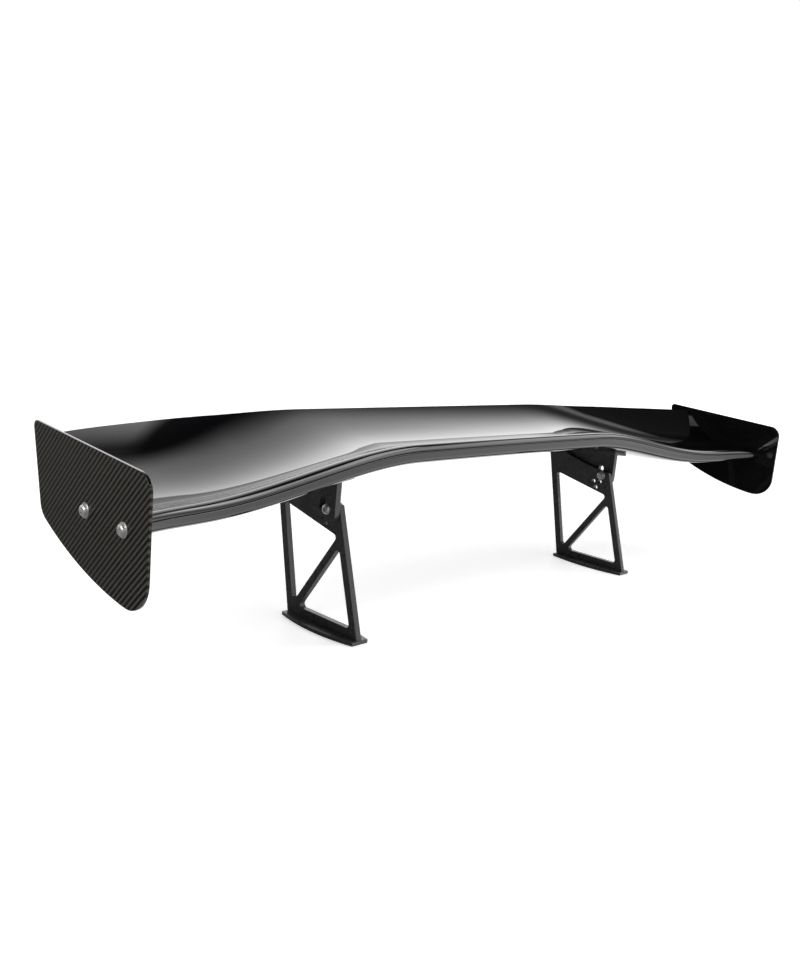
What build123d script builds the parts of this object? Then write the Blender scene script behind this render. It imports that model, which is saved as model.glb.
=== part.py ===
"""Racing rear wing: a swept, twisted wing with endplates on two adjustable uprights.

Frame: +X to the wing's right, +Y rearwards (the air flows along +Y), +Z up.
The origin is on the ground plane, under the middle of the whole wing. Millimetres.
The dimensions below measure y from the middle of the uprights' feet, and save()
moves every piece back by ORIGIN_SHIFT.
"""
from build123d import *
import math
import os

os.makedirs("parts", exist_ok=True)

ORIGIN_SHIFT = 3.45      # from the middle of the feet to the middle of the whole wing

# ---- wing planform and section -------------------------------------------------
HALF_SPAN = 773.0        # centre to the endplates' inner faces
LE_Y, LE_Z = -60.0, 277.0  # leading edge seam at the centre
TE_Y, TE_Z = 170.0, 306.5  # trailing edge at the centre
LE_SWEEP_SOFT = 30.0     # forward sweep of the leading edge, gentle part
LE_SWEEP_TIP = 51.0      # and the part that grows near the tips
TE_SWEEP = 127.0         # forward sweep of the trailing edge
LE_DROP = 46.0           # the leading edge drops outboard, which twists the tips
LE_TIP_RISE = 4.0
TE_DROP, TE_TIP_RISE = 3.5, 2.0
TE_RISE_START = 600.0
TWIST_START, TWIST_END = 240.0, 640.0
SWEEP_START, SWEEP_SETTLED = 300.0, 480.0
CAMBER_CENTRE, CAMBER_TIP = 0.135, 0.186
THICK_UPPER, THICK_LOWER = 0.104, 0.118  # twice each half thickness over the chord
NOSE_INDEX = 20.0        # bluntness of the nose in the modified four-digit law
NOSE_ROOT = 0.2969       # nose term of the same law
THICKEST = 0.3           # chord fraction where the section is thickest
NOSE_STEPS = [0.0012, 0.004, 0.009, 0.018, 0.032, 0.055]   # chord fractions
INNER_NOSE_STEPS = [0.0095, 0.012, 0.018, 0.027, 0.04, 0.06]
BODY_STEPS = [0.1, 0.17, 0.27, 0.4, 0.55, 0.7, 0.85, 1.0]
SKIN = 1.6
TRAILING_HALF = 1.8      # half thickness of the trailing edge
SEAM_GAP = 0.4           # open joint between the skins along the leading edge
GLUE = 0.4               # bond line between a skin and what is inside it
SKIN_END = HALF_SPAN - 0.2
STATIONS = [0, 120, 220, 300, 370, 440, 510, 580, 650, 715, SKIN_END]

# ---- inside the wing -----------------------------------------------------------
FRONT_WEB, REAR_WEB = 0.16, 0.62   # chord fractions of the two spars
WEB = 3.0
SPAR_END = 742.0
BLOCK_FRONT, BLOCK_REAR = 0.19, 0.59
RIB = 4.0
RIB_STATIONS = [-560.0, -185.0, 0.0, 185.0, 560.0]
FOOT_BLOCK_HALF = 24.0
TIP_BLOCK_START = 757.0
TIP_BLOCK_FRONT, TIP_BLOCK_REAR = 0.03, 0.86

# ---- endplates -----------------------------------------------------------------
PLATE = 4.0
PLATE_TOP_REAR = (88.3, 316.6)
PLATE_TOP_FRONT = (-177.3, 297.5)
PLATE_LOW_FRONT = (-178.5, 141.6)
PLATE_LOW_MIDDLE = (-60.0, 157.6)
PLATE_LOW_REAR = (63.5, 206.5)
PLATE_CORNERS = [7.0, 22.0, 38.0, 26.0]  # top rear, top front, low front, low rear
PLATE_SCREWS = [(-44.6, 232.6), (-127.8, 229.4)]
PLATE_INSERT, PLATE_INSERT_LENGTH = 5.0, 10.0
PLATE_HOLE = 4.4         # radius of the plate's screw holes

# ---- uprights and bases --------------------------------------------------------
UPRIGHT_X = 362.6        # middle plane of each upright
UPRIGHT = 10.0           # plate thickness
BASE = 6.0
FOOT_HALF = 79.5
REAR_LEAN = 0.2226       # rearward lean of the rear edge, per unit of height
FRONT_LEAN = 0.3145
MEMBER = 13.0            # width of the truss members
BRACE, BRACE_FALL = 12.0, 1.424      # width and fall of the diagonal
BRACE_MIDDLE = (20.0, 80.5)
SILL_MIDDLE, SILL_RISE = (43.0, 163.3), 0.2237   # lower edge of the top web
WINDOW_CORNER = 5.5
CREST_FRONT, CREST_MIDDLE, CREST_REAR = 195.0, (50.0, 208.0), (88.0, 219.8)
EAR_FRONT, EAR_TOP, EAR_CORNER = 92.0, 240.0, 9.0
BASE_HALF_WIDTH, BASE_BOW = 15.2, 11.0
BASE_REAR, BASE_FRONT = 80.0, -82.0
BASE_SCREW_Y = [-56.0, 0.0, 56.0]
BASE_SCREW, BASE_SCREW_LENGTH, BASE_THREAD = 6.0, 16.0, 17.0
MOUNT_HOLE, MOUNT_DEPTH = 6.0, 5.0   # M6 threads from below
MOUNT_X, MOUNT_Y = 16.0, 30.0

# ---- brackets ------------------------------------------------------------------
BRACKET = 10.0
SLIDE_GAP = 0.1          # between bracket and upright
BRACKET_X = UPRIGHT_X + (UPRIGHT + BRACKET) / 2 + SLIDE_GAP
BRACKET_FRONT, BRACKET_LOW = -22.5, 166.8
BRACKET_KNEE = (66.0, 197.0)
BRACKET_REAR = (122.0, 199.0)
BRACKET_CORNERS = [11.0, 30.0, 14.0]
FLANGE = 6.0             # the bracket's top flange, shaped to the wing
FLANGE_HALF = 20.0
FLANGE_FROM, FLANGE_TO = 0.155, 0.80   # chord fractions that it covers
SHIM = 0.3               # adhesive film between flange and wing
FLANGE_SCREW, FLANGE_SCREW_LENGTH = 5.0, 18.0
FLANGE_SCREW_AT = [0.26, 0.53]         # chord fractions
FLANGE_SCREW_SIDE = 12.5               # either side of the bracket's plate
FLANGE_INSERT, FLANGE_INSERT_LENGTH = 4.0, 11.0
INSERT_SUNK = 0.2        # depth of the inserts' mouths below the block's face
INSERT_ROOM = 1.0        # extra depth of a bore behind its insert
SCREW_SUNK = 0.5         # depth of the screw heads below the flange's face
SKIN_HOLE = 2.8          # radius of the screw holes in the lower skin
SCREW_PLAY = 0.15        # radial play of a countersunk screw in its hole

# ---- pivot and clamp bolts -----------------------------------------------------
BOLT = 8.0
PIVOT = (-4.8, 187.5)    # front bolt, which the wing turns about
CLAMP = (104.0, 226.0)   # rear bolt, in the bracket's curved slot
NOSE_UP, NOSE_DOWN = 2.0, 8.0          # degrees of adjustment each way
SLOT_PLAY = 0.5          # extra slot length, in degrees, at each end
SLOT_WIDTH = 8.6
SPARE_HOLES = [(-1.5, 174.8), (13.0, 173.3), (6.5, 161.5)]
SPARE_HOLE = 8.6
SPARE_SLOT = [(5.2, 200.6), (7.4, 189.6)]
SPARE_SLOT_WIDTH = 11.0
FIT = 0.05               # radial clearance of the bolts in their holes
HEAD, HEAD_HEIGHT = 14.0, 4.4
SOCKET = 0.31            # half the hexagon socket's width over the screw's diameter
NUT_ACROSS, NUT_HEIGHT = 13.0, 6.5
BOLT_END = 1.5           # bolt standing out of the nut
WASHER_R, WASHER = 8.0, 1.2
WIDE_WASHER_R = 9.0
WASHER_HOLE = 4.2
TOUCH = 0.05             # gap between a bolt's washer and the bracket that slides under it


# ---- helpers -------------------------------------------------------------------
def ramp(x, start, end):
    """Smooth step from 0 at start to 1 at end, on either side of the centre."""
    t = min(max((abs(x) - start) / (end - start), 0.0), 1.0)
    return t * t * (3.0 - 2.0 * t)


def leading_edge(x):
    u = abs(x) / HALF_SPAN
    y = LE_Y - LE_SWEEP_SOFT * u**2 - LE_SWEEP_TIP * u**6
    z = LE_Z - LE_DROP * ramp(x, TWIST_START, TWIST_END)
    return y, z + LE_TIP_RISE * ramp(x, TWIST_END, HALF_SPAN)


def trailing_edge(x):
    v = max(abs(x) - SWEEP_START, 0.0) / (HALF_SPAN - SWEEP_START)
    z = TE_Z - TE_DROP * ramp(x, SWEEP_START, SWEEP_SETTLED)
    return TE_Y - TE_SWEEP * v**2.1, z + TE_TIP_RISE * ramp(x, TE_RISE_START, HALF_SPAN)


def chord_frame(x):
    """Leading edge, chord length and the chord's direction at span x."""
    ly, lz = leading_edge(x)
    ty, tz = trailing_edge(x)
    chord = math.hypot(ty - ly, tz - lz)
    return ly, lz, chord, (ty - ly) / chord, (tz - lz) / chord


def thickness(s):
    """Half thickness at chord fraction s: the modified four-digit law."""
    m = THICKEST
    nose = NOSE_ROOT * NOSE_INDEX / 6.0
    rear = [0.002, 0.234, -0.0686, -0.0939]
    if s >= m:
        return 5.0 * sum(a * (1.0 - s)**i for i, a in enumerate(rear))
    value = 0.1 - nose * math.sqrt(m)
    slope = -0.5 * nose / math.sqrt(m)
    bend = 2 * rear[2] + 6 * rear[3] * (1 - m) + 0.25 * nose * m**-1.5
    c = (value - slope * m + 0.5 * bend * m * m) / m**3
    b = 0.5 * bend - 3.0 * c * m
    a = slope - 2.0 * b * m - 3.0 * c * m * m
    return 5.0 * (nose * math.sqrt(s) + a * s + b * s * s + c * s**3)


def surface_point(x, s, side, inset=0.0):
    """A point of the wing's surface at span x and chord fraction s.

    side is -1 for the upper surface and +1 for the lower one, and inset moves the
    point into the wing, square to the mean line.
    """
    ly, lz, chord, ey, ez = chord_frame(x)
    camber = CAMBER_CENTRE + (CAMBER_TIP - CAMBER_CENTRE) * ramp(x, SWEEP_START, HALF_SPAN)
    thick = THICK_UPPER if side < 0 else THICK_LOWER
    half = thick * thickness(s) * chord + TRAILING_HALF * s - inset
    slope = math.atan(4.0 * camber * (1.0 - 2.0 * s))
    along = s * chord - side * half * math.sin(slope)
    down = 4.0 * camber * s * (1.0 - s) * chord + side * half * math.cos(slope)
    return Vector(x, ly + along * ey + down * ez, lz + along * ez - down * ey)


def skin_face(x, side):
    """One skin's cross section: outer curve, trailing end, inner curve, seam end."""
    thick = THICK_UPPER if side < 0 else THICK_LOWER
    steepness = 5.0 * thick * NOSE_ROOT * NOSE_INDEX / 6.0 * chord_frame(x)[2]
    first = (0.5 * SEAM_GAP / steepness)**2
    outer_s = [first] + NOSE_STEPS + BODY_STEPS
    inner_s = list(reversed(INNER_NOSE_STEPS + BODY_STEPS))
    outer = Spline(*[surface_point(x, s, side) for s in outer_s])
    inner = Spline(*[surface_point(x, s, side, SKIN) for s in inner_s])
    trailing = Line(outer @ 1, inner @ 0)
    seam = Line(inner @ 1, outer @ 0)
    return Face(Wire([outer, trailing, inner, seam]))


def filler_face(x, front, rear):
    """The room between the skins from one chord fraction to another."""
    steps = [front + (rear - front) * i / 8.0 for i in range(9)]
    top = Spline(*[surface_point(x, s, -1, SKIN + GLUE) for s in steps])
    low = Spline(*[surface_point(x, s, +1, SKIN + GLUE) for s in reversed(steps)])
    return Face(Wire([top, Line(top @ 1, low @ 0), low, Line(low @ 1, top @ 0)]))


def web_face(x, s):
    """A straight web between the skins at one chord fraction."""
    step = 0.5 * WEB / chord_frame(x)[2]
    corners = [(s - step, -1), (s + step, -1), (s + step, +1), (s - step, +1)]
    points = [surface_point(x, at, side, SKIN + GLUE) for at, side in corners]
    return Face(Wire.make_polygon(points, close=True))


def both_sides(stations):
    return [-x for x in reversed(stations)] + stations


def plate_yz(outline, x, width):
    """A flat plate across the span: outline in (y, z), faces at x and x + width."""
    return extrude(Plane.YZ.offset(x) * outline, width)


def pin_x(radius, at, x, length):
    """A round bar along +X from x, centred on (y, z)."""
    return plate_yz(Pos(*at) * Circle(radius), x, length)


def ring_x(outer, inner, at, x, length):
    return plate_yz(Pos(*at) * (Circle(outer) - Circle(inner)), x, length)


def meet(p, d, q, e):
    """Where the line through p along d meets the line through q along e."""
    t = ((q[0] - p[0]) * e[1] - (q[1] - p[1]) * e[0]) / (d[0] * e[1] - d[1] * e[0])
    return p[0] + t * d[0], p[1] + t * d[1]


def button_screw(shank, head, height, length):
    """A button-head socket screw along Z: head above Z = 0, shank below it."""
    rim, shoulder, crown = height * 0.3, height * 0.78, head * 0.2
    side = Polyline((0, 0), (head / 2, 0), (head / 2, rim))
    dome = ThreePointArc((head / 2, rim), (head * 0.37, shoulder), (crown, height))
    top = Polyline((crown, height), (0, height), (0, 0))
    solid = revolve(Plane.XZ * make_face([side, dome, top]), Axis.Z)
    solid += Pos(0, 0, -length / 2) * Cylinder(shank / 2, length)
    socket = extrude(RegularPolygon(shank * SOCKET, 6, major_radius=False), height)
    return solid - Pos(0, 0, height * 0.35) * socket


def countersunk_screw(shank, length):
    """A countersunk socket screw along Z: flat head at Z = 0, shank below it."""
    depth = shank * 0.5
    solid = Pos(0, 0, -depth / 2) * Cone(shank / 2, shank, depth)
    solid += Pos(0, 0, -length / 2) * Cylinder(shank / 2, length)
    socket = extrude(RegularPolygon(shank * SOCKET, 6, major_radius=False), depth)
    return solid - Pos(0, 0, -depth) * socket


def countersink(shank, clearance, length):
    """The hole for a countersunk screw, along Z, with its mouth at Z = 0."""
    depth, r = shank * 0.5, shank / 2 + clearance
    mouth = Pos(0, 0, -depth / 2) * Cone(r, shank + clearance, depth)
    over = Pos(0, 0, SKIN) * Cylinder(shank + clearance, 2 * SKIN)
    return mouth + over + Pos(0, 0, -length / 2) * Cylinder(r, length)


def chamfered_nut(across, height, bore):
    """A hexagon nut along Z from Z = 0, with its corners turned down."""
    body = extrude(RegularPolygon(across / 2, 6, major_radius=False), height)
    blank = Pos(0, 0, height / 2) * Cylinder(across * 0.57, height)
    body &= chamfer(blank.edges(), across * 0.06)
    return body - Pos(0, 0, height / 2) * Cylinder(bore, height)


def along_x(solid, at, x, side):
    """A solid made along Z laid with its +Z along side times X, at (x, y, z)."""
    return Pos(x, *at) * (Rot(0, 90 * side, 0) * solid)


def arc_slot(centre, at, low, high, width):
    """A slot about centre from angle low to high, in degrees from point at."""
    dy, dz = at[0] - centre[0], at[1] - centre[1]
    start = math.degrees(math.atan2(dz, dy)) + low
    middle = CenterArc(centre, math.hypot(dy, dz), start, high - low)
    return SlotArc(middle, width)


def straight_slot(a, b, width):
    return SlotArc(Line(a, b), width)


def joined(parts):
    """Separate solids that share one node."""
    return Compound([solid for part in parts for solid in part.solids()])


def mirrored(shape):
    return mirror(shape, Plane.YZ)


def save(name, shape):
    export_step(Pos(0, ORIGIN_SHIFT, 0) * shape, f"parts/{name}.step")


# ---- wing ----------------------------------------------------------------------
def flange_frames(side):
    """Planes at the flange screws: origin on the wing, Z out of the lower skin."""
    frames = []
    for s in FLANGE_SCREW_AT:
        for step in (-FLANGE_SCREW_SIDE, FLANGE_SCREW_SIDE):
            x = side * BRACKET_X + step
            at = surface_point(x, s, +1)
            across = surface_point(x + 1.0, s, +1) - surface_point(x - 1.0, s, +1)
            back = surface_point(x, s + 0.005, +1) - surface_point(x, s - 0.005, +1)
            frames.append(Plane(origin=at, x_dir=across, z_dir=back.cross(across)))
    return frames


def build_skins():
    stations = both_sides(STATIONS[1:])
    stations.insert(len(stations) // 2, 0.0)
    save("upper_skin", loft([skin_face(x, -1) for x in stations]))
    lower = loft([skin_face(x, +1) for x in stations])
    for side in (-1, 1):
        for frame in flange_frames(side):
            lower -= frame * Cylinder(SKIN_HOLE, 6 * SKIN)
    save("lower_skin", lower)


def build_spars():
    stations = both_sides(STATIONS[1:-1] + [SPAR_END])
    stations.insert(len(stations) // 2, 0.0)
    save("front_spar", loft([web_face(x, FRONT_WEB) for x in stations]))
    save("rear_spar", loft([web_face(x, REAR_WEB) for x in stations]))


def build_ribs():
    ribs = [loft([filler_face(x - RIB / 2, BLOCK_FRONT, BLOCK_REAR),
                  filler_face(x + RIB / 2, BLOCK_FRONT, BLOCK_REAR)]) for x in RIB_STATIONS]
    save("ribs", joined(ribs))


def build_foot_blocks():
    blocks, inserts, screws = [], [], []
    depth = SKIN + GLUE + INSERT_SUNK
    for side in (-1, 1):
        x = side * BRACKET_X
        faces = [filler_face(x + d, BLOCK_FRONT, BLOCK_REAR)
                 for d in (-FOOT_BLOCK_HALF, 0.0, FOOT_BLOCK_HALF)]
        block = loft(faces)
        for frame in flange_frames(side):
            bore = Cylinder(FLANGE_INSERT, 2 * (depth + FLANGE_INSERT_LENGTH + INSERT_ROOM))
            block -= frame * bore
            insert = (Cylinder(FLANGE_INSERT - FIT, FLANGE_INSERT_LENGTH)
                      - Cylinder(FLANGE_SCREW / 2, FLANGE_INSERT_LENGTH))
            inserts.append(frame * (Pos(0, 0, -depth - FLANGE_INSERT_LENGTH / 2) * insert))
            head = SHIM + FLANGE - SCREW_SUNK
            screw = countersunk_screw(FLANGE_SCREW - 2 * FIT, FLANGE_SCREW_LENGTH)
            screws.append(frame * (Pos(0, 0, head) * screw))
        blocks.append(block)
    save("foot_blocks", joined(blocks))
    save("foot_inserts", joined(inserts))
    save("bracket_screws", joined(screws))


def build_tip_blocks():
    mean = (TIP_BLOCK_START + SKIN_END) / 2
    faces = [filler_face(x, TIP_BLOCK_FRONT, TIP_BLOCK_REAR)
             for x in (TIP_BLOCK_START, mean, SKIN_END)]
    block, inserts = loft(faces), []
    start = SKIN_END - PLATE_INSERT_LENGTH
    for at in PLATE_SCREWS:
        block -= pin_x(PLATE_INSERT, at, start - INSERT_ROOM, PLATE_INSERT_LENGTH + 2.0)
        inserts.append(ring_x(PLATE_INSERT - FIT, BOLT / 2, at, start, PLATE_INSERT_LENGTH))
    save("left_tip_block", mirrored(block))
    save("right_tip_block", block)
    save("tip_inserts", joined(inserts + [mirrored(i) for i in inserts]))


def build_endplates():
    top = Line(PLATE_TOP_REAR, PLATE_TOP_FRONT)
    front = Line(PLATE_TOP_FRONT, PLATE_LOW_FRONT)
    low = ThreePointArc(PLATE_LOW_FRONT, PLATE_LOW_MIDDLE, PLATE_LOW_REAR)
    rear = Line(PLATE_LOW_REAR, PLATE_TOP_REAR)
    outline = make_face([top, front, low, rear])
    corners = [PLATE_TOP_REAR, PLATE_TOP_FRONT, PLATE_LOW_FRONT, PLATE_LOW_REAR]
    for corner, radius in zip(corners, PLATE_CORNERS):
        outline = fillet(outline.vertices().sort_by_distance(Vector(*corner))[0], radius)
    plate = plate_yz(outline, HALF_SPAN, PLATE)
    washers, screws = [], []
    outer = HALF_SPAN + PLATE
    length = PLATE + WASHER + PLATE_INSERT_LENGTH
    for at in PLATE_SCREWS:
        plate -= pin_x(PLATE_HOLE, at, HALF_SPAN, PLATE)
        washers.append(ring_x(WIDE_WASHER_R, WASHER_HOLE, at, outer, WASHER))
        screw = button_screw(BOLT - 2 * FIT, HEAD, HEAD_HEIGHT, length)
        screws.append(along_x(screw, at, outer + WASHER, +1))
    save("left_endplate", mirrored(plate))
    save("right_endplate", plate)
    save("endplate_washers", joined(washers + [mirrored(w) for w in washers]))
    save("endplate_screws", joined(screws + [mirrored(s) for s in screws]))


def flange_face(x):
    """The bracket's top flange in section: a strip that follows the lower skin."""
    steps = [FLANGE_FROM + (FLANGE_TO - FLANGE_FROM) * i / 10.0 for i in range(11)]
    top = Spline(*[surface_point(x, s, +1, -SHIM) for s in steps])
    low = Spline(*[surface_point(x, s, +1, -SHIM - FLANGE) for s in reversed(steps)])
    return Face(Wire([top, Line(top @ 1, low @ 0), low, Line(low @ 1, top @ 0)]))


def bracket_outline():
    """The bracket's plate in (y, z), up to the middle of its flange."""
    steps = [FLANGE_FROM + 0.03 + (FLANGE_TO - FLANGE_FROM - 0.05) * i / 8.0 for i in range(9)]
    under = [surface_point(BRACKET_X, s, +1, -SHIM - FLANGE / 2) for s in steps]
    under = [(p.Y, p.Z) for p in under if BRACKET_FRONT + 3.0 < p.Y < BRACKET_REAR[0] - 3.0]
    first = (BRACKET_FRONT, under[0][1] + 1.0)
    last = (BRACKET_REAR[0], under[-1][1] + 3.0)
    points = [first, (BRACKET_FRONT, BRACKET_LOW), BRACKET_KNEE, BRACKET_REAR, last]
    outline = make_face(Polyline(*points, *reversed(under), close=True))
    for corner, radius in zip(points[1:4], BRACKET_CORNERS):
        outline = fillet(outline.vertices().sort_by_distance(Vector(*corner))[0], radius)
    return outline


def build_brackets():
    outline = bracket_outline()
    outline -= Pos(*PIVOT) * Circle(BOLT / 2 + FIT)
    outline -= arc_slot(PIVOT, CLAMP, -NOSE_DOWN - SLOT_PLAY, NOSE_UP + SLOT_PLAY, SLOT_WIDTH)
    outline -= straight_slot(*SPARE_SLOT, SPARE_SLOT_WIDTH)
    bracket = plate_yz(outline, BRACKET_X - BRACKET / 2, BRACKET)
    flange = loft([flange_face(BRACKET_X + d) for d in (-FLANGE_HALF, 0.0, FLANGE_HALF)])
    for frame in flange_frames(+1):
        hole = countersink(FLANGE_SCREW, SCREW_PLAY, 3 * FLANGE)
        flange -= frame * (Pos(0, 0, SHIM + FLANGE - SCREW_SUNK) * hole)
    bracket += flange
    save("right_bracket", bracket)
    save("left_bracket", mirrored(bracket))


# ---- stands --------------------------------------------------------------------
def upright_outline():
    foot_rear, foot_front = (FOOT_HALF, BASE), (-FOOT_HALF, BASE)
    front_top = (-FOOT_HALF + FRONT_LEAN * (CREST_FRONT - BASE), CREST_FRONT)
    rear_top = (FOOT_HALF + REAR_LEAN * (EAR_TOP - BASE), EAR_TOP)
    ear = (EAR_FRONT, EAR_TOP)
    edges = [Polyline(ear, rear_top, foot_rear, foot_front, front_top),
             ThreePointArc(front_top, CREST_MIDDLE, CREST_REAR), Line(CREST_REAR, ear)]
    outline = make_face(edges)
    for corner in (ear, rear_top):
        outline = fillet(outline.vertices().sort_by_distance(Vector(*corner))[0], EAR_CORNER)
    return outline


def window(corners):
    outline = make_face(Polyline(*corners, close=True))
    return fillet(outline.vertices(), WINDOW_CORNER)


def windows():
    """The two triangular windows, either side of the diagonal brace."""
    rear_way, front_way = (REAR_LEAN, 1.0), (FRONT_LEAN, 1.0)
    rear = (FOOT_HALF - MEMBER * math.hypot(*rear_way), BASE)
    front = (-FOOT_HALF + MEMBER * math.hypot(*front_way), BASE)
    brace_way, sill_way = (1.0, -BRACE_FALL), (1.0, SILL_RISE)
    half = BRACE / 2 * math.hypot(*brace_way)
    above = (BRACE_MIDDLE[0], BRACE_MIDDLE[1] + half)
    below = (BRACE_MIDDLE[0], BRACE_MIDDLE[1] - half)
    floor, level = (0.0, BASE + MEMBER), (1.0, 0.0)
    upper = [meet(rear, rear_way, SILL_MIDDLE, sill_way), meet(rear, rear_way, above, brace_way),
             meet(above, brace_way, SILL_MIDDLE, sill_way)]
    lower = [meet(front, front_way, below, brace_way), meet(front, front_way, floor, level),
             meet(below, brace_way, floor, level)]
    return [window(upper), window(lower)]


def build_uprights():
    outline = upright_outline()
    for opening in windows():
        outline -= opening
    for at in (PIVOT, CLAMP):
        outline -= Pos(*at) * Circle(BOLT / 2 + FIT)
    for at in SPARE_HOLES:
        outline -= Pos(*at) * Circle(SPARE_HOLE / 2)
    upright = plate_yz(outline, UPRIGHT_X - UPRIGHT / 2, UPRIGHT)
    for y in BASE_SCREW_Y:
        thread = Cylinder(BASE_SCREW / 2, BASE_THREAD, align=(Align.CENTER, Align.CENTER, Align.MIN))
        upright -= Pos(UPRIGHT_X, y, 0) * thread
    save("right_upright", upright)
    save("left_upright", mirrored(upright))


def build_bases():
    middle = (BASE_REAR + BASE_FRONT) / 2
    w, bow = BASE_HALF_WIDTH, BASE_HALF_WIDTH + BASE_BOW
    edges = [Line((-w, BASE_FRONT), (w, BASE_FRONT)),
             ThreePointArc((w, BASE_FRONT), (bow, middle), (w, BASE_REAR)),
             Line((w, BASE_REAR), (-w, BASE_REAR)),
             ThreePointArc((-w, BASE_REAR), (-bow, middle), (-w, BASE_FRONT))]
    base = extrude(make_face(edges), BASE)
    screws = []
    for y in BASE_SCREW_Y:
        turned = Pos(0, y, 0) * Rot(180, 0, 0)
        base -= turned * countersink(BASE_SCREW, SCREW_PLAY, BASE_SCREW_LENGTH)
        screws.append(Pos(UPRIGHT_X, 0, 0) * turned
                      * countersunk_screw(BASE_SCREW - 2 * FIT, BASE_SCREW_LENGTH))
    for x in (-MOUNT_X, MOUNT_X):
        for y in (-MOUNT_Y, MOUNT_Y):
            base -= Pos(x, y, MOUNT_DEPTH / 2) * Cylinder(MOUNT_HOLE / 2, MOUNT_DEPTH)
    base = Pos(UPRIGHT_X, 0, 0) * base
    save("right_base", base)
    save("left_base", mirrored(base))
    save("base_screws", joined(screws + [mirrored(s) for s in screws]))


def build_bolts(name, at, washer_r):
    """A pair of bolts through bracket and upright, heads outboard, nuts inboard."""
    inner = UPRIGHT_X - UPRIGHT / 2
    outer = BRACKET_X + BRACKET / 2 + TOUCH
    seat = outer + WASHER
    nut_face = inner - WASHER - NUT_HEIGHT
    bolt = along_x(button_screw(BOLT, HEAD, HEAD_HEIGHT, seat - nut_face + BOLT_END), at, seat, +1)
    washers = [ring_x(washer_r, WASHER_HOLE, at, outer, WASHER),
               ring_x(WASHER_R, WASHER_HOLE, at, inner - WASHER, WASHER)]
    nut = along_x(chamfered_nut(NUT_ACROSS, NUT_HEIGHT, BOLT / 2 + FIT), at, inner - WASHER, -1)
    save(f"{name}_bolts", joined([bolt, mirrored(bolt)]))
    save(f"{name}_washers", joined(washers + [mirrored(w) for w in washers]))
    save(f"{name}_nuts", joined([nut, mirrored(nut)]))


build_skins()
build_spars()
build_ribs()
build_foot_blocks()
build_tip_blocks()
build_endplates()
build_brackets()
build_uprights()
build_bases()
build_bolts("front", PIVOT, WASHER_R)
build_bolts("rear", CLAMP, WIDE_WASHER_R)
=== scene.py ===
import math

import bmesh
import bpy
import numpy as np
from mathutils import Matrix, Vector


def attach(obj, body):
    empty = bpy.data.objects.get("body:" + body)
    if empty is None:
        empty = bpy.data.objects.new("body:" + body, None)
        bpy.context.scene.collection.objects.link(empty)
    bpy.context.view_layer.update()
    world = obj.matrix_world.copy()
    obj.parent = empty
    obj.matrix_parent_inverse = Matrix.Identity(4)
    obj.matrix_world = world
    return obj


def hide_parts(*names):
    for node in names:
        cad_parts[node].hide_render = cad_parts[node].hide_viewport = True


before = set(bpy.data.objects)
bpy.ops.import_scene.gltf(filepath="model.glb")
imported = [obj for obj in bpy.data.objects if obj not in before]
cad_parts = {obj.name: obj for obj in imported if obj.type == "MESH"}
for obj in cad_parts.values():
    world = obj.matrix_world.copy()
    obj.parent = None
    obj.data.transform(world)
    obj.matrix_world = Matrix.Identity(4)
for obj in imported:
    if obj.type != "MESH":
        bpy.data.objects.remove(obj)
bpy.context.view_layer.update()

# The frame is the CAD model's: +X right, +Y rearwards, +Z up. Sizes are metres, apart from the
# outlines, holes and corner radii of the flat plates, which are millimetres from the feet's middle.
MM = 0.001
SHIFT = 3.45 * MM        # the CAD's y dimensions start at the middle of the feet

# ---- wing section and planform, as in the CAD model ------------------------------
HALF_SPAN = 0.773
SKIN_END = 0.7728
LE_Y, LE_Z = -0.060, 0.277
TE_Y, TE_Z = 0.170, 0.3065
LE_SWEEP_SOFT, LE_SWEEP_TIP = 0.030, 0.051
TE_SWEEP = 0.127
LE_DROP, LE_TIP_RISE = 0.046, 0.004
TE_DROP, TE_TIP_RISE, TE_RISE_START = 0.0035, 0.002, 0.6
TWIST_START, TWIST_END = 0.24, 0.64
SWEEP_START, SWEEP_SETTLED = 0.3, 0.48
CAMBER_CENTRE, CAMBER_TIP = 0.135, 0.186
THICK_UPPER, THICK_LOWER = 0.104, 0.118
NOSE = 0.2969 * 20.0 / 6.0
THICKEST = 0.3
REAR_LAW = (0.002, 0.234, -0.0686, -0.0939)     # powers of 1 - s, behind the thickest point
TRAILING_HALF = 0.0018
SKIN = 0.0016
SEAM_GAP = 0.0004


def ramp(x, start, end):
    """A smooth step from 0 at start to 1 at end, on both sides of the middle."""
    t = np.clip((np.abs(x) - start) / (end - start), 0.0, 1.0)
    return t * t * (3.0 - 2.0 * t)


def law(s):
    """Half thickness over the chord at chord fraction s."""
    m = THICKEST
    value = 0.1 - NOSE * math.sqrt(m)
    slope = -0.5 * NOSE / math.sqrt(m)
    bend = 2 * REAR_LAW[2] + 6 * REAR_LAW[3] * (1 - m) + 0.25 * NOSE * m**-1.5
    c = (value - slope * m + 0.5 * bend * m * m) / m**3
    b = 0.5 * bend - 3.0 * c * m
    a = slope - 2.0 * b * m - 3.0 * c * m * m
    front = NOSE * np.sqrt(s) + a * s + b * s * s + c * s**3
    back = sum(k * (1.0 - s)**i for i, k in enumerate(REAR_LAW))
    return 5.0 * np.where(s < m, front, back)


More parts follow.
